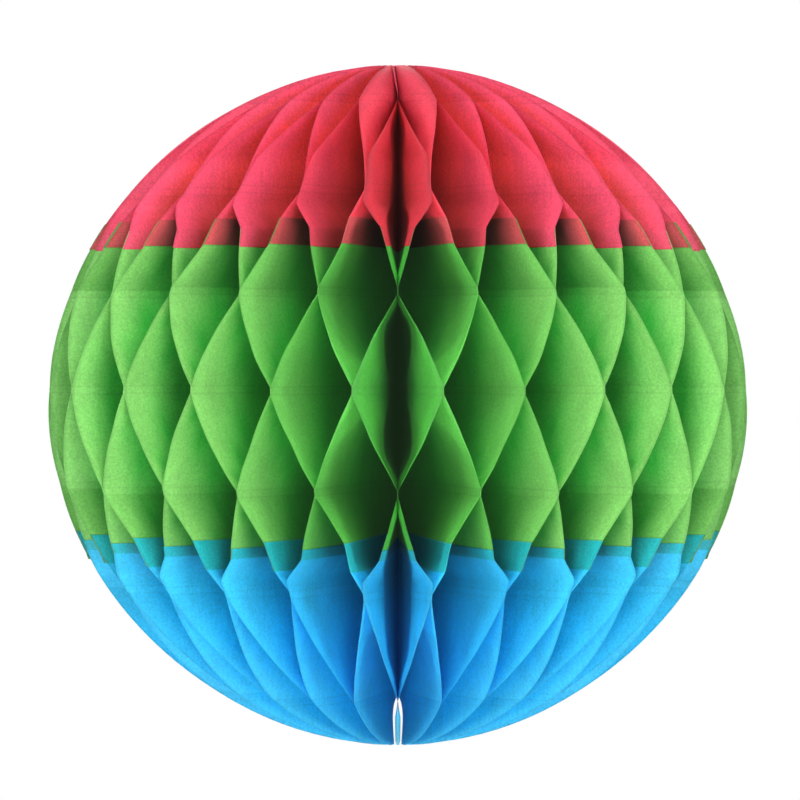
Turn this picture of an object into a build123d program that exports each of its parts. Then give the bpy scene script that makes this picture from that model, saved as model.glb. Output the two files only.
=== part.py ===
from build123d import *
import math
import os

# Honeycomb ball of tissue paper. Lengths are in millimetres, angles in degrees.
# The axis of the ball is Z through the origin, and the front of the ball faces -Y.

ball_radius = 150.0        # rim of the leaves at the equator
ball_half_height = 146.1   # height at which the outline would reach the axis
outline_power = 1.93       # 2 makes the outline an ellipse
pole_flat_radius = 12.0    # the outline ends in a short flat edge at each pole
cell_count = 24            # diamond cells round the ball, two leaves to a cell
crowding_angle = 3.75      # leaves lie closer at the front and back than at the sides
paper_thickness = 0.05     # one sheet of tissue
glue_width = 3.0           # height of each glue line
clip_width = 11.0          # rounded clip at the lower inner corner of every leaf
red_lap_wide = 10.6        # overlap of red on green, on the leaves with wide laps
red_lap_narrow = 7.7
blue_lap_wide = 11.8       # overlap of blue on green
blue_lap_narrow = 4.1

# Heights as shares of ball_half_height, from the top of the ball to the bottom.
glue_row_shares = (0.886, 0.615, 0.324, 0.049, -0.232, -0.519, -0.846)
wide_red_edge_share = 0.457     # lower edge of the red strip, on the leaves with wide laps
narrow_red_edge_share = 0.449
wide_blue_edge_share = -0.369   # upper edge of the blue strip
narrow_blue_edge_share = -0.389
cap_level_shares = (0.36, 0.72)  # extra outline points, from a pole to its glue row
clip_level_shares = (0.15, 0.5, 1.0)
half_share = 0.5

leaf_turn = 360.0 / (2 * cell_count)
spine_radius = paper_thickness / (2 * math.sin(math.radians(leaf_turn) / 2))


def fan_angle(index):
    """Angle from the front of the glue plane with this number."""
    turn = index * leaf_turn
    return turn - crowding_angle * math.sin(2 * math.radians(turn))


def outward(angle):
    """Level unit vector away from the axis, at an angle from the front."""
    turn = math.radians(angle)
    return Vector(-math.sin(turn), -math.cos(turn), 0)


def outline_radius(height):
    """Radius of the ball's outline at a height."""
    share = abs(height) / ball_half_height
    return ball_radius * (1 - share ** outline_power) ** (1 / outline_power)


def outline_height(radius):
    """Height of the ball's outline at a radius."""
    share = radius / ball_radius
    return ball_half_height * (1 - share ** outline_power) ** (1 / outline_power)


def between(start, end, share):
    return start + (end - start) * share


class Leaf:
    """One leaf, between the glue planes numbered index and index + 1.

    Its spine is straight. Its rim swings from plane to plane, row by row. Both faces are the same
    faceted surface, one moved from the other by the thickness of the paper.
    """

    def __init__(self, index):
        self.start_angle = fan_angle(index)
        self.end_angle = fan_angle(index + 1)
        self.spine = outward(self.start_angle) * spine_radius
        self.through = outward(self.end_angle) * spine_radius - self.spine
        wide = index % 2 == 1
        red_edge = ball_half_height * (wide_red_edge_share if wide else narrow_red_edge_share)
        blue_edge = ball_half_height * (wide_blue_edge_share if wide else narrow_blue_edge_share)
        self.red_lap = (red_edge + (red_lap_wide if wide else red_lap_narrow), red_edge)
        self.blue_lap = (blue_edge, blue_edge - (blue_lap_wide if wide else blue_lap_narrow))
        self.first_swing = index % 2
        self.cells = self.make_cells()

    def point(self, station, depth):
        """Corner of a facet: station is (height, radius, swing), depth is 0 to 1 through the paper."""
        height, radius, swing = station
        reach = outward(between(self.start_angle, self.end_angle, swing)) * (radius - spine_radius)
        return self.spine + reach + self.through * depth + Vector(0, 0, height)

    def make_cells(self):
        """Lists of spine points and rim points between level cuts, from the top of the leaf down."""
        pole = outline_height(pole_flat_radius)
        rows = [ball_half_height * share for share in glue_row_shares]
        half_glue = glue_width / 2
        swings = [(self.first_swing + row) % 2 for row in range(len(rows))]

        def spine(height, swing, radius=spine_radius):
            return (height, radius, swing)

        def rim(height, swing):
            return (height, outline_radius(height), swing)

        def cell(heights, swings_there, spine_points=None):
            rim_points = [rim(h, s) for h, s in zip(heights, swings_there)]
            if spine_points is None:
                spine_points = [spine(heights[0], swings_there[0]), spine(heights[-1], swings_there[-1])]
            return spine_points, rim_points

        cells = []
        top = rows[0] + half_glue
        heights = [pole] + [between(pole, top, s) for s in cap_level_shares] + [top, rows[0] - half_glue]
        cells.append(cell(heights, [swings[0]] * len(heights)))
        for row in range(len(rows) - 1):
            upper = rows[row] - half_glue
            lower = rows[row + 1] + half_glue
            cuts = [h for h in self.red_lap + self.blue_lap if lower < h < upper]
            levels = [upper] + cuts + [lower]
            swing_at = [between(swings[row], swings[row + 1], (upper - h) / (upper - lower)) for h in levels]
            if cuts:
                for i in range(len(levels) - 1):
                    cells.append(cell(levels[i:i + 2], swing_at[i:i + 2]))
            else:
                middle = between(upper, lower, half_share)
                cells.append(cell([upper, middle, lower], [swings[row], half_share, swings[row + 1]]))
            if row + 1 < len(rows) - 1:
                cells.append(cell([lower, lower - glue_width], [swings[row + 1]] * 2))
        low = rows[-1] - half_glue
        swing = swings[-1]
        heights = [rows[-1] + half_glue, low]
        heights += [between(low, -pole, 1 - s) for s in reversed(cap_level_shares)] + [-pole]
        spine_points = [spine(heights[0], swing), spine(low, swing)]
        for share in clip_level_shares:
            radius = between(spine_radius, clip_width, math.sqrt(1 - (1 - share) ** 2))
            spine_points.append(spine(between(low, -pole, share), swing, radius))
        cells.append(cell(heights, [swing] * len(heights), spine_points))
        return cells

    def facets(self, spine_points, rim_points):
        """Flat polygons that cover one cell of the leaf."""
        first_spine, last_spine = spine_points[0], spine_points[-1]
        swings = {station[2] for station in rim_points}
        if len(swings) == 1:
            return [spine_points[::-1] + rim_points]
        facets = [[first_spine, rim_points[0], rim_points[1]], [first_spine, rim_points[1], last_spine]]
        for i in range(1, len(rim_points) - 1):
            facets.append([last_spine, rim_points[i], rim_points[i + 1]])
        return facets

    def strip(self, slabs):
        """Solid from slabs, each (top, bottom, near depth, far depth), listed from the top down."""
        faces = []

        def add(corners):
            faces.append(Face(Wire.make_polygon(corners, close=True)))

        def add_level(cell_points, depths):
            inner, outer = cell_points
            low, high = depths
            corners = [(inner, low), (outer, low), (outer, high), (inner, high)]
            add([self.point(station, depth) for station, depth in corners])

        for number, (top, bottom, near, far) in enumerate(slabs):
            inside = [c for c in self.cells if c[1][0][0] <= top and c[1][-1][0] >= bottom]
            above = slabs[number - 1][2:] if number > 0 else None
            below = slabs[number + 1][2:] if number + 1 < len(slabs) else None
            for count, (spine_points, rim_points) in enumerate(inside):
                for facet in self.facets(spine_points, rim_points):
                    add([self.point(station, near) for station in facet])
                    add([self.point(station, far) for station in facet])
                for chain in (spine_points, rim_points):
                    for i in range(len(chain) - 1):
                        starts = count == 0 and i == 0
                        ends = count == len(inside) - 1 and chain[i + 1] == chain[-1]
                        extra_top = [d for d in above if near < d < far] if starts and above else []
                        extra_bottom = [d for d in below if near < d < far] if ends and below else []
                        side = [(chain[i], d) for d in [near] + extra_top + [far]]
                        side += [(chain[i + 1], d) for d in [far] + extra_bottom + [near]]
                        add([self.point(station, depth) for station, depth in side])
            first, last = inside[0], inside[-1]
            if above is None:
                add_level((first[0][0], first[1][0]), (near, far))
            if below is None:
                add_level((last[0][-1], last[1][-1]), (near, far))
                continue
            for here, there in zip((near, far), below):
                if here != there:
                    add_level((last[0][-1], last[1][-1]), (here, there))
        return Solid(Shell(faces))

    def strips(self):
        """The leaf's red, green and blue strips."""
        top = self.cells[0][1][0][0]
        bottom = self.cells[-1][1][-1][0]
        red_top, red_bottom = self.red_lap
        blue_top, blue_bottom = self.blue_lap
        return {
            "red": self.strip([(top, red_top, 0, 1), (red_top, red_bottom, 0, half_share)]),
            "green": self.strip([
                (red_top, red_bottom, half_share, 1),
                (red_bottom, blue_top, 0, 1),
                (blue_top, blue_bottom, half_share, 1),
            ]),
            "blue": self.strip([(blue_top, blue_bottom, 0, half_share), (blue_bottom, bottom, 0, 1)]),
        }


nodes = {}
for index in range(cell_count):
    left_group, right_group = ("odd", "even") if index % 2 == 0 else ("even", "odd")
    for colour, solid in Leaf(index).strips().items():
        nodes.setdefault(f"{left_group}_leaves_{colour}", []).append(solid)
        nodes.setdefault(f"{right_group}_leaves_{colour}", []).append(mirror(solid, about=Plane.YZ))

os.makedirs("parts", exist_ok=True)
for name, solids in nodes.items():
    export_step(Compound(solids), f"parts/{name}.step")
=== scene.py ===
import math

import bpy
import numpy as np
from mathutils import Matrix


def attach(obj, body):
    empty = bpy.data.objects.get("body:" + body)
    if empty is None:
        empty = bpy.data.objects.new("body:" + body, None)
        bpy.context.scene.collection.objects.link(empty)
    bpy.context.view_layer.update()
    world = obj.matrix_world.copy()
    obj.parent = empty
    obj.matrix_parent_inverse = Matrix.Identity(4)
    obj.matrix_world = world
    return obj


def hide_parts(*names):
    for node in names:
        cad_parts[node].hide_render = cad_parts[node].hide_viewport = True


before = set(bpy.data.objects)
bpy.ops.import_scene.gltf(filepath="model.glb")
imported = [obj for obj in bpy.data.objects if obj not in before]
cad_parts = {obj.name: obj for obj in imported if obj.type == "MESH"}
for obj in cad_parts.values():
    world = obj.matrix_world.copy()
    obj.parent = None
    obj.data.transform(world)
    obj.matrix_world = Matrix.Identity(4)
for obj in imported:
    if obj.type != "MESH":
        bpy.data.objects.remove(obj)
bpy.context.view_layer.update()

MM = 0.001

# The ball, in millimetres and degrees. Its front faces -Y and its axis is Z.
BALL_RADIUS = 150.0
BALL_HALF_HEIGHT = 146.1
OUTLINE_POWER = 1.93
POLE_FLAT_RADIUS = 12.0
CELL_COUNT = 24
LEAF_TURN = 360.0 / (2 * CELL_COUNT)
CROWDING_ANGLE = 3.75
GLUE_WIDTH = 3.0
CLIP_WIDTH = 11.0
CLIP_POWER = 4
CLIP_CLOSING = 0.35
GLUE_ROW_SHARES = (0.886, 0.615, 0.324, 0.049, -0.232, -0.519, -0.846)
WIDE_LAPS = {"red_edge": 0.457, "red_lap": 10.6, "blue_edge": -0.369, "blue_lap": 11.8}
NARROW_LAPS = {"red_edge": 0.449, "red_lap": 7.7, "blue_edge": -0.389, "blue_lap": 4.1}

# Each strip's two faces, in millimetres from the middle of the leaf. The first face of each is turned towards
# the front seam, and red and blue lie on that side of green. Glued leaves keep a small gap between them.
PAPER_SIDES = {"red": (-0.05, -0.01), "green": (0.01, 0.05), "blue": (-0.05, -0.01)}
BOND_GAP = 0.07
BOND_REACH = 2.0
SPINE_RADIUS = 0.05

# The grid of points on a strip. Steps and widths are in millimetres, and shares are of the strip's width or
# of its rim margin.
LEVEL_STEP = 2.4
CREASE_WIDTH = 0.5
RIM_MARGIN = 1.6
MOST_MARGIN_SHARE = 0.3
COLUMN_COUNT = 11
COLUMN_POWER = 1.4
SPINE_SHARE = 0.013
EDGE_SHARES = (0.72, 0.45, 0.2, 0.0)
SWING_STEPS = 2400

# How each leaf swings between its glue rows, against a plain stretch. Pasted laps are stiff. Every other
# leaf is a petal, with a full shoulder and a steep flank beside the second row from either end.
WIDE_LAP_RATE = 0.3
NARROW_LAP_RATE = 0.9
SHOULDER_HEIGHT = 4.5
SHOULDER_RATE = -0.4
STEEP_RATE = 3.0
PETAL_CLING = 14.0
TOP_RATES = (1.75, 0.25)
FOOT_RATES = (0.6, 1.4)
RATE_BLUR = 2.5
UPPER_BELLY = 0.06
LOWER_BELLY = (0.05, 0.02)

# Painted shade: the paper's colour is darkened from the rim down into the open fold beside it, where shade
# falls.
# Depths are in millimetres, and the fade starts and ends at shares of the open depth. The painted shade is
# darkest beside the pasted laps, and is eased near the top of the front leaves and at the foot of the front
# pair. Leaves near the front and back seam are painted a shaded, more saturated colour, and the rim is
# painted a little darker as shade.
LEAST_DEPTHS = (12.0, 30.0)
LEAST_TURNS = (45.0, 90.0)
LEAST_ANGLE = 0.5
MOST_DEPTH = 105.0
FRONT_DEPTH = 45.0
FOLD_FADE = (0.15, 0.74)
LAP_FADE = (0.0, 0.8)
LAP_PAINTED_SHADE = 0.55
LAP_PAINTED_SHADE_REACH = 32.0
NARROW_RED_SHOW = 0.12
NARROW_BLUE_SHOW = 0.8
SEAM_SHADE_SHARE = 0.9
SEAM_SHADE_TURN = 30.0
TOP_RELIEF = 0.8
FOOT_RELIEF_RATE = 3
RIM_SHADE = 0.3
LINE_SHADE = 0.13

# The pair of leaves at the front seam is pinched shut inside, so that it opens in an outer band alone. Shares
# and widths of that band are for the top, middle and bottom cell, at the rows given. The pair's rims curl
# outward, its top leans, and its top and foot gape a little behind a closed rim. Near the top the next leaf
# on either side lies close against the pair.
PINCH_ROWS = (1, 3, 5)
PINCH_SHARES = (0.7, 0.72, 0.5)
PINCH_WIDTHS = (32.0, 30.0, 28.0)
PINCH_POWER = 3.5
MOST_PINCH_SHARE = 0.5
FRONT_CURL = 1.8
FRONT_CURL_REACH = 5.5
FRONT_CURL_FADE = 15.0
# The front pair's rim is painted darker as shade, paler above its top row, and plain at its foot.
FRONT_RIM_SHADE = 0.45
TOP_RIM_GAIN = 0.5
TOP_HUG = 0.95
HUG_POWER = 6
FRONT_LEAN = 2.5
FRONT_GAPE = 1.2
FOOT_GAPE_RATE = 5
TOP_GAPE = 0.25
FRONT_BEAD = 4.0
# The front pair's paper is painted darker overall as shade.
FRONT_SHADED_TONE = 0.84
# The front pair's middle cell is painted with shade inward from its rim, over a reach that narrows as the
# pair closes.
FRONT_PAINTED_SHADE = 0.75
PAINTED_SHADE_POWER = 1.5
LEAST_OPENING = 0.05
FRONT_SPREAD = 0.5

# How far hand-made leaves stray from a perfect fan, in millimetres, degrees and shares.
SEED = 48
LIFT_SPREAD = 0.5
TURN_SPREAD = 0.14
BULGE_SPREAD = 0.02
RIM_SPREAD = 0.25
LAP_STEP = 0.45
LAP_TAB = 2.5
RIPPLE_COUNT = 3
RIPPLE_HEIGHT = 0.2
RIPPLE_LENGTH = 23.0
TONE_SPREAD = 0.035

# Colours of the three papers, as levels from 0 to 255. The colours for the folds are painted shade, and the
# lapped ones show where two strips lie together, with their own painted fold shade. A shaded, more saturated
# copy of the face is painted on leaves beside the front and back seam. Glow is light through the paper, and a
# painted glow, given off by all the paper, lifts the shade in the folds.
PAPER_COLOURS = {
    "red": {
        "face": (240, 86, 120),
        "seam_shaded_face": (236, 64, 70),
        "fold_shade_colour": (226, 62, 62),
        "lapped": (206, 82, 88),
        "lapped_fold_shade_colour": (66, 36, 30),
        "glow": (248, 78, 98),
        "fold_painted_glow": (16, 12, 12),
    },
    "green": {
        "face": (134, 202, 106),
        "seam_shaded_face": (64, 196, 58),
        "fold_shade_colour": (42, 162, 48),
        "lapped": (84, 140, 66),
        "lapped_fold_shade_colour": (48, 96, 42),
        "glow": (100, 206, 84),
        "fold_painted_glow": (20, 32, 20),
    },
    "blue": {
        "face": (64, 212, 246),
        "seam_shaded_face": (30, 188, 246),
        "fold_shade_colour": (14, 182, 238),
        "lapped": (30, 176, 180),
        "lapped_fold_shade_colour": (16, 126, 124),
        "glow": (46, 204, 248),
        "fold_painted_glow": (8, 20, 30),
    },
}

# Grain of the tissue: noise scales per metre, and how much each noise lightens and darkens the paper.
CLOUD_SCALE = 70.0
FIBRE_SCALE = 1100.0
STREAK_SCALES = (520.0, 520.0, 45.0)
CLOUD_SHADE = 0.4
FIBRE_SHADE = 1.0
STREAK_SHADE = 0.3
GRAIN_STRENGTH = 0.12
GRAIN_HEIGHT = 0.0004
PAPER_ROUGHNESS = 0.6
PAPER_SHEEN = 0.4
GLOW_SHARE = 0.3
LAP_GLOW_LOSS = 0.5
FOLD_SHADE_GLOW_LOSS = 0.6

# The studio, in metres. A softbox is its distance from the ball, its width and its height.
WHITE = (1.0, 1.0, 1.0, 1.0)
FLOOR_COLOUR = (0.86, 0.86, 0.85, 1.0)
FLOOR_ROUGHNESS = 0.9
FLOOR_GLOW = 0.65
FLOOR_HALF = 9.0
FLOOR_HEIGHT = -3.0
BACKDROP = 1.0
AMBIENT = 0.32
KEY_BOX = (0.5, 0.16, 0.8)
FILL_BOX = (1.0, 0.25, 0.4)
SIDE_BOX = (1.0, 0.3, 0.6)
CAMERA_PLACE = (0, -2.0, 0.0245)
CAMERA_DIP = 0.64
CAMERA_LENS = 209.1
CAMERA_SENSOR = 36.0
CAMERA_SHIFT = 0.0028
LIGHT_BOUNCES = 8

rng = np.random.default_rng(SEED)
ROWS = [BALL_HALF_HEIGHT * share for share in GLUE_ROW_SHARES]
contact_lift = rng.normal(0, LIFT_SPREAD, (CELL_COUNT + 1, len(ROWS)))
contact_turn = rng.normal(0, TURN_SPREAD, (CELL_COUNT + 1, len(ROWS)))
contact_turn[0] = 0
contact_turn[CELL_COUNT] = 0
contact_turn[1, 3] = FRONT_SPREAD


def fan_angle(index):
    """Angle from the front of the glue plane with this number."""
    turn = index * LEAF_TURN
    return turn - CROWDING_ANGLE * math.sin(2 * math.radians(turn))


def outline_radius(height):
    """Radius of the ball's outline at a height."""
    share = np.minimum(np.abs(height) / BALL_HALF_HEIGHT, 1)
    return BALL_RADIUS * (1 - share ** OUTLINE_POWER) ** (1 / OUTLINE_POWER)


def outline_height(radius):
    """Height of the ball's outline at a radius."""
    share = radius / BALL_RADIUS
    return BALL_HALF_HEIGHT * (1 - share ** OUTLINE_POWER) ** (1 / OUTLINE_POWER)


POLE = outline_height(POLE_FLAT_RADIUS)


class Leaf:
    """One leaf of three pasted strips, between two glue planes."""

    def __init__(self, index):
        self.index = index
        laps = WIDE_LAPS if index % 2 else NARROW_LAPS
        red_edge = BALL_HALF_HEIGHT * laps["red_edge"]
        blue_edge = BALL_HALF_HEIGHT * laps["blue_edge"]
        self.red_lap = (red_edge, red_edge + laps["red_lap"])
        self.blue_lap = (blue_edge - laps["blue_lap"], blue_edge)
        self.span = {
            "red": (red_edge, POLE),
            "green": (self.blue_lap[0], self.red_lap[1]),
            "blue": (-POLE, blue_edge),
        }
        self.sides = [(index + row) % 2 for row in range(len(ROWS))]
        planes = [index + side for side in self.sides]
        self.rows = [ROWS[row] + contact_lift[plane, row] for row, plane in enumerate(planes)]
        self.turns = [fan_angle(plane) + contact_turn[plane, row] for row, plane in enumerate(planes)]
        self.bellies = rng.normal(0, BULGE_SPREAD, len(ROWS))
        self.bellies[2] += UPPER_BELLY
        self.bellies[3] += LOWER_BELLY[index % 2]
        self.rim_shift = {colour: rng.normal(0, RIM_SPREAD) * (index > 0) for colour in PAPER_SIDES}
        # The front pair's paper is painted darker as shade; every strip also has its own random tone.
        front_shaded_tone = 1 if index else FRONT_SHADED_TONE
        self.tone = {colour: front_shaded_tone + rng.normal(0, TONE_SPREAD) for colour in PAPER_SIDES}
        self.ripples = rng.uniform(0, 2 * math.pi, RIPPLE_COUNT)

    def levels(self, colour):
        """Heights of the strip's rows of points, close together where something changes."""
        low, high = self.span[colour]
        edges = [row + half for row in self.rows for half in (-GLUE_WIDTH / 2, GLUE_WIDTH / 2)]
        edges += [low, high, *self.red_lap, *self.blue_lap]
        marks = [edge + step for edge in edges for step in (-CREASE_WIDTH, 0, CREASE_WIDTH)]
        marks = sorted({round(m, 4) for m in marks if low <= m <= high})
        heights = []
        for start, end in zip(marks, marks[1:]):
            count = max(1, math.ceil((end - start) / LEVEL_STEP))
            heights += list(np.linspace(start, end, count, endpoint=False))
        return np.array(heights + [marks[-1]])

    def swing_rates(self, heights):
        """How fast the leaf swings at each height, against a plain stretch of it."""
        petal = self.index % 2 == 0
        rates = np.ones(heights.shape)
        first, second, late, last = (self.rows[row] for row in (0, 1, -2, -1))

        def stretch(low, high):
            return (heights > low) & (heights < high)

        for low, high in (self.red_lap, self.blue_lap):
            rates[stretch(low, high)] = NARROW_LAP_RATE if petal else WIDE_LAP_RATE
        rates = np.where(heights > second, np.interp(heights, (second, first), TOP_RATES[::-1]), rates)
        rates = np.where(heights < late, np.interp(heights, (last, late), FOOT_RATES[::-1]), rates)
        if petal:
            rates[stretch(self.red_lap[1], second) | stretch(late, self.blue_lap[0])] = STEEP_RATE
            shoulder = SHOULDER_HEIGHT + GLUE_WIDTH / 2
            rates[stretch(second - shoulder, second) | stretch(late, late + shoulder)] = SHOULDER_RATE
            rates[heights > second] = 1.0
            rates[stretch(second, second + PETAL_CLING)] = 0.0
        return rates

    def swing(self, heights):
        """Angle of the leaf, its side of the cell, 0 to 1, and how free of glue it is, at each height."""
        angle = np.full(heights.shape, float(self.turns[0]))
        side = np.full(heights.shape, float(self.sides[0]))
        free = np.zeros(heights.shape)
        fine = np.linspace(-POLE, POLE, SWING_STEPS)
        rates = self.swing_rates(fine)
        width = round(RATE_BLUR / (fine[1] - fine[0]))
        rates = np.convolve(rates, np.full(width, 1 / width), "same")
        travel = np.cumsum(rates)
        for row in range(len(self.rows)):
            top = self.rows[row] - GLUE_WIDTH / 2
            below = heights < top
            angle[below] = self.turns[row]
            side[below] = self.sides[row]
            free[below] = 0
            if row + 1 == len(self.rows):
                break
            bottom = self.rows[row + 1] + GLUE_WIDTH / 2
            start, end = np.interp([top, bottom], fine, travel)
            here = np.interp(np.clip(heights[below], bottom, top), fine, travel)
            share = (start - here) / (start - end)
            bow = np.clip(4 * share * (1 - share), 0, 1)
            way = self.sides[row + 1] - self.sides[row]
            side[below] = self.sides[row] + way * share + self.bellies[row] * bow
            turned = share + way * self.bellies[row] * bow
            angle[below] = self.turns[row] + (self.turns[row + 1] - self.turns[row]) * turned
            free[below] = bow ** 2
        return angle, side, free

    def top_rise(self, heights):
        """0 at the second glue row, 1 at the top one."""
        return np.clip((heights - self.rows[1]) / (self.rows[0] - self.rows[1]), 0, 1)

    def foot_share(self, heights):
        """0 at the lowest glue row, 1 at the foot of the leaf."""
        foot = self.rows[-1] - GLUE_WIDTH / 2
        return np.clip((foot - heights) / (foot + POLE), 0, 1)

    def spine_radius(self, heights):
        """Radius of the leaf's inner edge, which is clipped round at the foot."""
        share = self.foot_share(heights)
        clip = np.sqrt(1 - (1 - share) ** CLIP_POWER) - CLIP_CLOSING * share ** 2
        return SPINE_RADIUS + (CLIP_WIDTH - SPINE_RADIUS) * clip

    def lap_strength(self, heights):
        """How strongly the strip below shows through, at each height. It shows most in the wide laps."""
        strength = np.zeros(heights.shape)
        for (low, high), narrow in ((self.red_lap, NARROW_RED_SHOW), (self.blue_lap, NARROW_BLUE_SHOW)):
            strength[(heights >= low) & (heights <= high)] = 1.0 if self.index % 2 else narrow
        return strength

    def lap_painted_shade(self, heights, lap):
        """How much painted shade darkens the folds beside the pasted laps."""
        painted_shade = np.zeros(heights.shape)
        for low, high in (self.red_lap, self.blue_lap):
            painted_shade += np.clip(1 - np.abs(heights - (low + high) / 2) / LAP_PAINTED_SHADE_REACH, 0, 1)
        return LAP_PAINTED_SHADE * painted_shade * (lap < 1)

    def green_step(self, heights):
        """How far the green rim stands out past the strip pasted on it, in the wide laps."""
        step = np.zeros(heights.shape)
        if self.index % 2:
            step[heights >= self.red_lap[0]] = LAP_STEP
            step[heights <= self.blue_lap[0] + LAP_TAB] = LAP_STEP
        return step

    def line_marks(self, heights, colour):
        """Dark crease lines beside the glue rows as -1, and the pale cut ends of a strip as 1."""
        marks = np.zeros(heights.shape)
        for row in self.rows:
            for edge in (row - GLUE_WIDTH / 2, row + GLUE_WIDTH / 2):
                marks -= np.clip(1 - np.abs(heights - edge) / CREASE_WIDTH, 0, 1)
        for end in self.span[colour]:
            marks += np.clip(1 - np.abs(heights - end) / CREASE_WIDTH, 0, 1)
        return marks

    def open_depth(self, heights, angle, outer, to_back):
        """How far in from the rim the fold on one side of the leaf lies open, at each height."""
        beside = self.index + (1 if to_back else -1)
        if 0 <= beside < CELL_COUNT:
            other = leaves[beside].swing(heights)[0]
        else:
            other = 360 - angle if to_back else -angle
        turn = 180 - angle if to_back else angle
        other = 180 - other if to_back else other
        near, far = (np.sin(np.radians(np.clip(a, LEAST_ANGLE, 90))) for a in (other, turn))
        least = np.interp(turn, LEAST_TURNS, LEAST_DEPTHS)
        most = FRONT_DEPTH if beside < 0 else MOST_DEPTH
        return np.clip(outer * (1 - near / far), least, most)

    def fold_shade_share(self, heights, from_rim, angle, lap, to_back):
        """How much painted shade each point takes down in the fold, 0 to 1, on the face towards the front or
        the back.
        """
        depth = self.open_depth(heights, angle, from_rim.max(axis=1), to_back)
        start = depth * np.where(lap == 1, LAP_FADE[0], FOLD_FADE[0])
        end = depth * np.where(lap == 1, LAP_FADE[1], FOLD_FADE[1])
        share = np.clip((from_rim - start[:, None]) / (end - start)[:, None], 0, 1)
        if self.index < 2:
            share = share * (1 - TOP_RELIEF * self.top_rise(heights))[:, None]
        if self.index == 0:
            share = share * (1 - np.clip(self.foot_share(heights) * FOOT_RELIEF_RATE, 0, 1))[:, None]
        return share ** 2 * (3 - 2 * share)


leaves = [Leaf(index) for index in range(CELL_COUNT)]


def front_pinch(heights, outer):
    """How far the front pair is pulled shut inside its outer band, in radians, and the band's width."""
    pair = leaves[0]
    turn = np.radians(np.clip(pair.swing(heights)[0], 0, None))
    opened = np.clip(turn / math.radians(fan_angle(1)), 0, 1)
    cells = [pair.rows[row] for row in PINCH_ROWS[::-1]]
    shares = np.interp(heights, cells, PINCH_SHARES[::-1])
    widths = np.interp(heights, cells, PINCH_WIDTHS[::-1])
    ends = np.minimum(pair.rows[0] - heights, heights - pair.rows[-1])
    curl = np.minimum(FRONT_CURL * np.clip(ends / FRONT_CURL_FADE, 0, 1) / outer, turn)
    width = FRONT_CURL_REACH + (widths - FRONT_CURL_REACH) * opened ** PINCH_POWER
    return np.maximum(turn * shares * opened, curl), np.minimum(width, outer * MOST_PINCH_SHARE)


def front_lean(heights, lean):
    """Turn of the front pair, in degrees, as its top leans sideways."""
    first = leaves[0].rows[0] + GLUE_WIDTH / 2
    shift = lean * np.clip((heights - first) / (POLE - first), 0, 1)
    return np.degrees(np.arcsin(shift / outline_radius(heights)))


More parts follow.
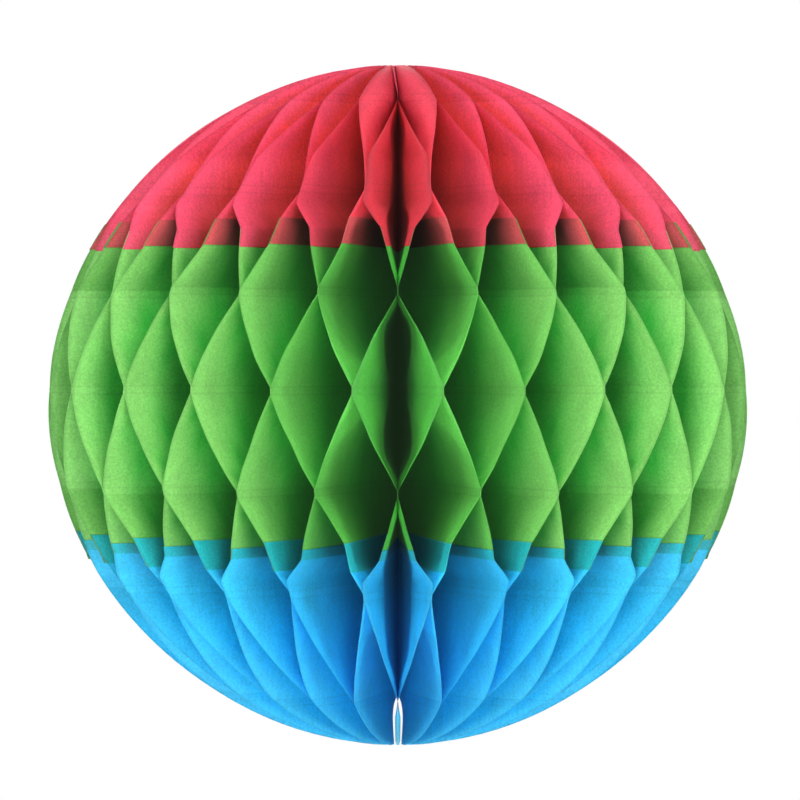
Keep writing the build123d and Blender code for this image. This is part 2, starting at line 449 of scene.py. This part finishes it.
class Strip:
    """One strip of a leaf as a grid of points, with rows from the foot up and columns from the spine out."""

    def __init__(self, leaf, colour, lean):
        self.leaf = leaf
        self.colour = colour
        self.lean = lean
        self.heights = leaf.levels(colour)
        self.angle, self.side, self.free = leaf.swing(self.heights)
        if leaf.index == 0:
            self.angle += front_lean(self.heights, lean)
        self.lap = leaf.lap_strength(self.heights)
        self.inner = leaf.spine_radius(self.heights)
        self.outer = outline_radius(self.heights) + leaf.rim_shift[colour]
        if colour == "green":
            self.outer = self.outer + leaf.green_step(self.heights)
        self.margin = np.minimum(RIM_MARGIN, (self.outer - self.inner) * MOST_MARGIN_SHARE)
        if leaf.index < 2:
            self.pull, self.margin = front_pinch(self.heights, self.outer)
        self.radius = self.grid_radius()
        self.from_rim = self.outer[:, None] - self.radius

    def grid_radius(self):
        """Radius of each point. Columns lie closer together towards the rim."""
        shares = 1 - (1 - np.linspace(0, 1, COLUMN_COUNT)) ** COLUMN_POWER
        shares = np.insert(shares, 1, SPINE_SHARE)
        width = self.outer - self.margin - self.inner
        radius = self.inner[:, None] + width[:, None] * shares[None, :]
        rim = np.stack([self.outer - self.margin * share for share in EDGE_SHARES], axis=1)
        return np.concatenate([radius, rim], axis=1)

    def turn(self):
        """Angle of each point from the front, in radians."""
        index = self.leaf.index
        turn = np.repeat(np.radians(self.angle)[:, None], self.radius.shape[1], axis=1)
        if index < 2:
            inward = np.clip(self.from_rim / self.margin[:, None], 0, 1)
            turn = turn - self.pull[:, None] * inward * (1 - self.side[:, None] if index else 1)
        if index == 1:
            pair = np.radians(leaves[0].swing(self.heights)[0] + front_lean(self.heights, self.lean))
            hug = TOP_HUG * self.leaf.top_rise(self.heights)[:, None]
            hug = hug * (1 - (self.radius / self.outer[:, None]) ** HUG_POWER)
            turn = turn + (pair[:, None] - turn) * hug
        return turn

    def ripple(self):
        """Sideways wave of each point where the paper is free, with the small gap between glued leaves."""
        waves = np.zeros(self.heights.shape)
        for number, phase in enumerate(self.leaf.ripples):
            waves += np.sin(self.heights * 2 * math.pi / RIPPLE_LENGTH / (number + 1) + phase)
        reach = self.radius / BALL_RADIUS
        ripple = RIPPLE_HEIGHT * (waves * self.free)[:, None] * reach ** 2
        return ripple + (BOND_GAP * (1 - 2 * self.side))[:, None] * np.minimum(self.radius / BOND_REACH, 1)

    def gape(self):
        """How far each point of the front pair stands off the seam, above its top row and at its foot."""
        if self.leaf.index > 0:
            return np.zeros(self.radius.shape)
        above = np.clip((self.heights - self.leaf.rows[0] - GLUE_WIDTH / 2) / FRONT_BEAD, 0, 1)
        foot = np.clip(self.leaf.foot_share(self.heights) * FOOT_GAPE_RATE, 0, 1)
        widest = FRONT_GAPE * foot + TOP_GAPE * above
        gape = widest[:, None] * (self.radius - self.inner[:, None]) / (self.outer - self.inner)[:, None]
        return gape * np.sqrt(np.clip(self.from_rim / FRONT_BEAD, 0, 1))

    def faces(self):
        """Points of the face towards the front seam and of the one towards the back."""
        turn = self.turn()
        sideways = self.ripple() + self.gape()
        height = np.repeat(self.heights[:, None], self.radius.shape[1], axis=1)
        faces = []
        for offset in PAPER_SIDES[self.colour]:
            across = sideways + offset
            x = -self.radius * np.sin(turn) - across * np.cos(turn)
            y = -self.radius * np.cos(turn) + across * np.sin(turn)
            faces.append(np.stack([x, y, height], axis=-1).reshape(-1, 3))
        return faces

    def tone(self):
        """Brightness of each point: its random tone, painted shade on the front pair and near the rim, the
        front pair's top rim painted paler, and the lines across the strip.
        """
        leaf = self.leaf
        rim_shade = np.full(self.heights.shape, RIM_SHADE)
        if leaf.index == 0:
            rim_shade = np.where(self.heights > leaf.rows[0], -TOP_RIM_GAIN, FRONT_RIM_SHADE)
            rim_shade[self.heights < leaf.rows[-1]] = 0
        rim_shaded_tone = 1 - rim_shade[:, None] * np.clip(1 - self.from_rim / RIM_MARGIN, 0, 1)
        lines = 1 + LINE_SHADE * leaf.line_marks(self.heights, self.colour)
        return leaf.tone[self.colour] * rim_shaded_tone * lines[:, None]

    def painted_shade(self, fold, to_back):
        """Painted shade of each point, in folds beside the laps and in the front seam's middle cell."""
        leaf = self.leaf
        painted_shade = leaf.lap_painted_shade(self.heights, self.lap)[:, None] * fold
        if leaf.index == 0 and not to_back:
            middle = (self.heights < leaf.rows[2]) & (self.heights > leaf.rows[4])
            reach = self.margin * np.clip(self.angle / fan_angle(1), LEAST_OPENING, 1)
            inside = np.clip(self.from_rim / reach[:, None], 0, 1) ** PAINTED_SHADE_POWER
            painted_shade = np.where(middle[:, None], FRONT_PAINTED_SHADE * inside, painted_shade)
        return painted_shade

    def paints(self):
        """Painted fold shade, lap strength, painted seam shade, and tone with painted shade, of each point,
        for each of the two faces.
        """
        paints = []
        for to_back in (False, True):
            fold = self.leaf.fold_shade_share(self.heights, self.from_rim, self.angle, self.lap, to_back)
            from_seam = 180 - self.angle if to_back else self.angle
            paint = np.empty(self.radius.shape + (4,))
            paint[..., 0] = fold
            paint[..., 1] = self.lap[:, None]
            # Painted shade: leaves near the front or back seam take a shaded, more saturated copy of the face
            # colour.
            paint[..., 2] = SEAM_SHADE_SHARE * np.clip(1 - from_seam / SEAM_SHADE_TURN, 0, 1)[:, None]
            paint[..., 3] = self.tone() * (1 - self.painted_shade(fold, to_back))
            paints.append(paint.reshape(-1, 4))
        return paints


def halved(quads):
    """Each quad as two triangles, cut along the same diagonal everywhere."""
    return np.concatenate([quads[:, [0, 1, 2]], quads[:, [0, 2, 3]]])


def sheet_triangles(number):
    """Corner numbers of the triangles of one face, from the grid of its points' numbers."""
    corners = [number[:-1, :-1], number[:-1, 1:], number[1:, 1:], number[1:, :-1]]
    return halved(np.stack([corner.ravel() for corner in corners], axis=1))


def edge_triangles(near, far):
    """Corner numbers of the band that closes the paper's cut edge."""
    return halved(np.stack([near[:-1], near[1:], far[1:], far[:-1]], axis=1))


def strip_triangles(rows, columns, start, mirrored):
    """Corner numbers of a closed strip's triangles, and which of them are on its faces."""
    near = start + np.arange(rows * columns).reshape(rows, columns)
    far = near + rows * columns
    sheets = np.concatenate([sheet_triangles(near), sheet_triangles(far)[:, ::-1]])
    bands = np.concatenate([
        edge_triangles(near[:, -1], far[:, -1]),
        edge_triangles(near[::-1, 0], far[::-1, 0]),
        edge_triangles(near[0], far[0]),
        edge_triangles(near[-1, ::-1], far[-1, ::-1]),
    ])
    triangles = np.concatenate([sheets, bands[:, ::-1]])
    on_face = np.repeat([True, False], [len(sheets), len(bands)])
    return triangles if mirrored else triangles[:, ::-1], on_face


def paper_mesh(name, strips):
    """One piece of closed strips of paper, each mirrored or not, with the paint values at its points."""
    points, paints, triangles, smooth = [], [], [], []
    start = 0
    for strip, mirrored in strips:
        rows, columns = strip.radius.shape
        corners, on_face = strip_triangles(rows, columns, start, mirrored)
        triangles.append(corners)
        smooth.append(on_face)
        for face in strip.faces():
            points.append(face * (-1, 1, 1) if mirrored else face)
        paints += strip.paints()
        start += 2 * rows * columns
    mesh = bpy.data.meshes.new(name)
    mesh.from_pydata((np.concatenate(points) * MM).tolist(), [], np.concatenate(triangles).tolist())
    mesh.polygons.foreach_set("use_smooth", np.concatenate(smooth))
    paint = mesh.attributes.new("paper_paint", "FLOAT_COLOR", "POINT")
    paint.data.foreach_set("color", np.concatenate(paints).astype(np.float32).ravel())
    mesh.update()
    piece = bpy.data.objects.new(name, mesh)
    bpy.context.scene.collection.objects.link(piece)
    return piece


class Field:
    """A value that varies over a surface: one output of a shader node."""

    def __init__(self, finish, socket):
        self.finish = finish
        self.socket = socket

    def output(self, name):
        """Another output of the same node."""
        return Field(self.finish, self.socket.node.outputs[name])

    def math(self, operation, first, second):
        return self.finish.node("ShaderNodeMath", {"operation": operation}, {0: first, 1: second})

    def __add__(self, other):
        return self.math("ADD", self, other)

    __radd__ = __add__

    def __sub__(self, other):
        return self.math("SUBTRACT", self, other)

    def __rsub__(self, other):
        return self.math("SUBTRACT", other, self)

    def __mul__(self, other):
        return self.math("MULTIPLY", self, other)

    __rmul__ = __mul__


class Finish:
    """The shader of a material or of the surroundings, built node by node."""

    def __init__(self, owner):
        self.owner = owner
        owner.use_nodes = True
        self.tree = owner.node_tree
        self.tree.nodes.clear()

    def node(self, kind, settings, inputs, output=0):
        """A node with its settings and its sockets' values or links. Gives the output asked for, if any."""
        made = self.tree.nodes.new(kind)
        for key, value in settings.items():
            setattr(made, key, value)
        for key, value in inputs.items():
            if isinstance(value, Field):
                self.tree.links.new(value.socket, made.inputs[key])
            else:
                made.inputs[key].default_value = value
        return Field(self, made.outputs[output]) if made.outputs else None

    def mix(self, share, first, second, blend="MIX"):
        """Colour between first and second."""
        settings = {"data_type": "RGBA", "blend_type": blend, "clamp_factor": True}
        return self.node("ShaderNodeMix", settings, {0: share, 6: first, 7: second}, 2)

    def noise(self, place, scale, detail):
        """Even noise, from 0 to 1."""
        return self.node("ShaderNodeTexNoise", {}, {"Vector": place, "Scale": scale, "Detail": detail})


def paint_colour(levels):
    """Linear colour from the usual 0 to 255 levels of red, green and blue."""
    def linear(value):
        return value / 12.92 if value <= 0.04045 else ((value + 0.055) / 1.055) ** 2.4
    return (*(linear(level / 255) for level in levels), 1.0)


def tissue(name, colours):
    """Thin dyed tissue, with painted shade in the folds, a painted shaded copy beside the seams and a painted
    glow, and darker where two strips lie together.
    """
    paper = Finish(bpy.data.materials.new(name))
    dye = {use: paint_colour(levels) for use, levels in colours.items()}
    paint = paper.node("ShaderNodeAttribute", {"attribute_name": "paper_paint"}, {})
    # The alpha channel is the random tone with painted shade: at the rim, on the front pair, in folds beside
    # the laps and in the front middle cell.
    tone = paint.output("Alpha")
    parts = paper.node("ShaderNodeSeparateColor", {}, {0: paint})
    # The red and blue channels are the painted fold shade and the painted seam shade.
    fold, lap, seam = (parts.output(channel) for channel in ("Red", "Green", "Blue"))
    place = paper.node("ShaderNodeTexCoord", {}, {}, "Object")
    upright = paper.node("ShaderNodeMapping", {}, {"Vector": place, "Scale": STREAK_SCALES})
    cloud = paper.noise(place, CLOUD_SCALE, 3.0)
    fibre = paper.noise(place, FIBRE_SCALE, 4.0)
    streak = paper.noise(upright, 1.0, 2.0)
    # Painted shade: a shaded copy of the face beside the seams, and painted fold shade down in the folds, for
    # single and lapped paper.
    single = paper.mix(fold, paper.mix(seam, dye["face"], dye["seam_shaded_face"]), dye["fold_shade_colour"])
    double = paper.mix(fold, dye["lapped"], dye["lapped_fold_shade_colour"])
    colour = paper.mix(lap, single, double)
    mottle = (cloud - 0.5) * CLOUD_SHADE + (fibre - 0.5) * FIBRE_SHADE + (streak - 0.5) * STREAK_SHADE
    shade = (mottle + 1.0) * tone
    grey = paper.node("ShaderNodeCombineColor", {}, {0: shade, 1: shade, 2: shade})
    colour = paper.mix(1.0, colour, grey, "MULTIPLY")
    grain = {"Strength": GRAIN_STRENGTH, "Distance": GRAIN_HEIGHT, "Height": fibre + cloud}
    bump = paper.node("ShaderNodeBump", {}, grain)
    skin = paper.node("ShaderNodeBsdfPrincipled", {}, {
        "Base Color": colour,
        "Roughness": PAPER_ROUGHNESS,
        "Specular IOR Level": PAPER_SHEEN,
        "Normal": bump,
        # Painted glow: all the paper gives off a little light of its own, to lift the shade in the folds.
        "Emission Color": dye["fold_painted_glow"],
        "Emission Strength": 1.0,
    })
    glow = paper.node("ShaderNodeBsdfTranslucent", {}, {"Color": dye["glow"], "Normal": bump})
    # Laps pass less light through the paper, and so do the folds, which darkens their painted shade further.
    through = (1.0 - lap * LAP_GLOW_LOSS) * (1.0 - fold * FOLD_SHADE_GLOW_LOSS) * GLOW_SHARE
    sheet = paper.node("ShaderNodeMixShader", {}, {0: through, 1: skin, 2: glow})
    paper.node("ShaderNodeOutputMaterial", {}, {"Surface": sheet})
    paper.owner.cycles.emission_sampling = "NONE"
    return paper.owner


def tissue_leaves():
    """The leaves of the ball, gathered by colour into those of either set, which take turns round the fan."""
    finishes = {colour: tissue(f"{colour}_tissue", dyes) for colour, dyes in PAPER_COLOURS.items()}
    for group, first in (("odd", 0), ("even", 1)):
        for colour, finish in finishes.items():
            strips = []
            for leaf in leaves:
                mirrored = leaf.index % 2 != first
                strips.append((Strip(leaf, colour, -FRONT_LEAN if mirrored else FRONT_LEAN), mirrored))
            piece = paper_mesh(f"{group}_tissue_{colour}", strips)
            piece.data.materials.append(finish)
            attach(piece, "root")
            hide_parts(f"{group}_leaves_{colour}")


def studio_floor():
    """Plain pale floor, well below the hanging ball."""
    mesh = bpy.data.meshes.new("floor")
    ways = ((-1, -1), (1, -1), (1, 1), (-1, 1))
    corners = [(x * FLOOR_HALF, y * FLOOR_HALF, FLOOR_HEIGHT) for x, y in ways]
    mesh.from_pydata(corners, [], [(0, 1, 2, 3)])
    floor = bpy.data.objects.new("floor", mesh)
    floor.visible_diffuse = False
    bpy.context.scene.collection.objects.link(floor)
    pale = Finish(bpy.data.materials.new("pale_floor"))
    skin = pale.node("ShaderNodeBsdfPrincipled", {}, {
        "Base Color": FLOOR_COLOUR,
        "Roughness": FLOOR_ROUGHNESS,
        "Emission Color": WHITE,
        "Emission Strength": FLOOR_GLOW,
    })
    pale.node("ShaderNodeOutputMaterial", {}, {"Surface": skin})
    mesh.materials.append(pale.owner)


def studio_world():
    """White surroundings, dimmer as a light than they look."""
    studio = Finish(bpy.data.worlds.new("studio"))
    seen = studio.node("ShaderNodeBackground", {}, {"Color": WHITE, "Strength": BACKDROP})
    lit = studio.node("ShaderNodeBackground", {}, {"Color": WHITE, "Strength": AMBIENT})
    looked_at = studio.node("ShaderNodeLightPath", {}, {}, "Is Camera Ray")
    sky = studio.node("ShaderNodeMixShader", {}, {0: looked_at, 1: lit, 2: seen})
    studio.node("ShaderNodeOutputWorld", {}, {"Surface": sky})
    bpy.context.scene.world = studio.owner


def softbox(name, azimuth, elevation, box, power):
    """Soft light that faces the ball. Azimuth is to the viewer's right of the front."""
    distance, width, height = box
    lamp = bpy.data.lights.new(name, "AREA")
    lamp.shape = "RECTANGLE"
    lamp.size = width
    lamp.size_y = height
    lamp.energy = power
    light = bpy.data.objects.new(name, lamp)
    light.visible_camera = False
    turn, rise = math.radians(azimuth), math.radians(elevation)
    light.location = (
        distance * math.cos(rise) * math.sin(turn),
        -distance * math.cos(rise) * math.cos(turn),
        distance * math.sin(rise),
    )
    light.rotation_euler = (math.radians(90) - rise, 0, turn)
    bpy.context.scene.collection.objects.link(light)


def studio_lights():
    """Tall narrow lights straight on to each side of the ball, and fill between them, above and below."""
    softbox("front_key", 0, 1, KEY_BOX, 3.0)
    softbox("back_key", 180, 1, KEY_BOX, 3.0)
    softbox("top_fill", 0, 50, FILL_BOX, 3.5)
    softbox("low_fill", 0, -48, FILL_BOX, 2.6)
    for azimuth in (40, 140, 220, 320):
        softbox(f"side_fill_{azimuth}", azimuth, 0, SIDE_BOX, 3.6)
    for azimuth in (90, 270):
        softbox(f"side_key_{azimuth}", azimuth, 1, KEY_BOX, 1.8)


def photo_camera():
    """View of the front from two metres away, almost level."""
    lens = bpy.data.cameras.new("photo")
    lens.sensor_width = CAMERA_SENSOR
    lens.lens = CAMERA_LENS
    lens.shift_x = CAMERA_SHIFT
    camera = bpy.data.objects.new("photo", lens)
    camera.location = CAMERA_PLACE
    camera.rotation_euler = (math.radians(90 - CAMERA_DIP), 0, 0)
    bpy.context.scene.collection.objects.link(camera)
    bpy.context.scene.camera = camera


tissue_leaves()
studio_floor()
studio_world()
studio_lights()
photo_camera()
bpy.context.scene.view_settings.view_transform = "Standard"
bpy.context.scene.cycles.diffuse_bounces = LIGHT_BOUNCES
